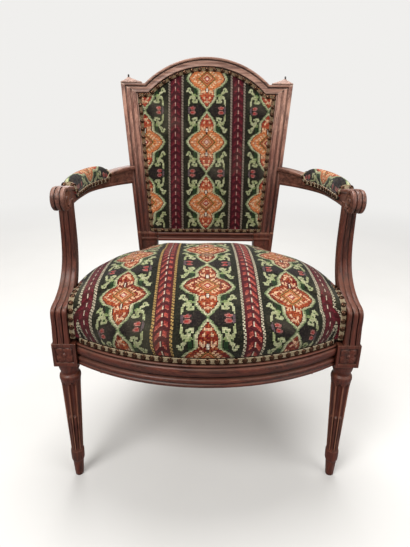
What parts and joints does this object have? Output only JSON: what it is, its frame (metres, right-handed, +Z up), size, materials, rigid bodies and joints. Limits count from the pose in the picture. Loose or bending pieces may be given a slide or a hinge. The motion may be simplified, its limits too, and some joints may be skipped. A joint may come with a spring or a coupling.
{
  "type": "upholstered open armchair",
  "caption": "Open armchair with a carved wooden frame, arched back, scrolled padded arms, turned fluted legs and a nailed needlepoint seat and back; seats one person.",
  "frame": {"origin": "on the floor, midway between the left and right sides and midway between the front and the rear", "axes": "+Z up, -Y the way the sitter faces, +X to the right of someone who looks at the chair from the front"},
  "size_m": [0.5842, 0.5894, 0.8753],
  "materials": {
    "wood": "worn waxed walnut brown, grain and dark grooves",
    "pin_steel": "dull",
    "spring_steel": "bare wire",
    "webbing": "coarse jute weave",
    "hessian": "open plain weave",
    "stuffing": "matted curled hair",
    "tapestry": "wool needlepoint with stripes and medallions",
    "back_cloth": "plain dark green wool",
    "braid": "beige woven braid under dark bronze nail heads"
  },
  "bodies": {
    "root": {"left_front_leg": "wood", "right_front_leg": "wood", "front_seat_rail": "wood", "left_seat_rail": "wood", "right_seat_rail": "wood", "rear_seat_rail": "wood", "left_front_corner_block": "wood", "right_front_corner_block": "wood", "left_rear_corner_block": "wood", "right_rear_corner_block": "wood", "left_back_post": "wood", "right_back_post": "wood", "lower_back_rail": "wood", "crest_rail": "wood", "left_shoulder_cap": "wood", "right_shoulder_cap": "wood", "left_arm": "wood", "right_arm": "wood", "left_arm_support": "wood", "right_arm_support": "wood", "left_finial_pin": "pin_steel", "right_finial_pin": "pin_steel", "seat_spring_1": "spring_steel", "seat_spring_2": "spring_steel", "seat_spring_3": "spring_steel", "seat_spring_4": "spring_steel", "seat_spring_5": "spring_steel", "long_webbing_1": "webbing", "long_webbing_2": "webbing", "long_webbing_3": "webbing", "long_webbing_4": "webbing", "cross_webbing_1": "webbing", "cross_webbing_2": "webbing", "cross_webbing_3": "webbing", "seat_hessian": "hessian", "back_canvas": "hessian", "seat_stuffing": "stuffing", "back_stuffing": "stuffing", "left_arm_pad_stuffing": "stuffing", "right_arm_pad_stuffing": "stuffing", "seat_cover": "tapestry", "back_cover": "tapestry", "left_arm_pad_cover": "tapestry", "right_arm_pad_cover": "tapestry", "outside_back_cover": "back_cloth", "seat_front_braid": "braid", "left_seat_side_braid": "braid", "right_seat_side_braid": "braid", "left_seat_corner_braid": "braid", "right_seat_corner_braid": "braid", "seat_rear_braid": "braid", "back_braid": "braid", "outside_back_braid": "braid", "left_arm_pad_braid": "braid", "right_arm_pad_braid": "braid"}
  },
  "joints": []
}
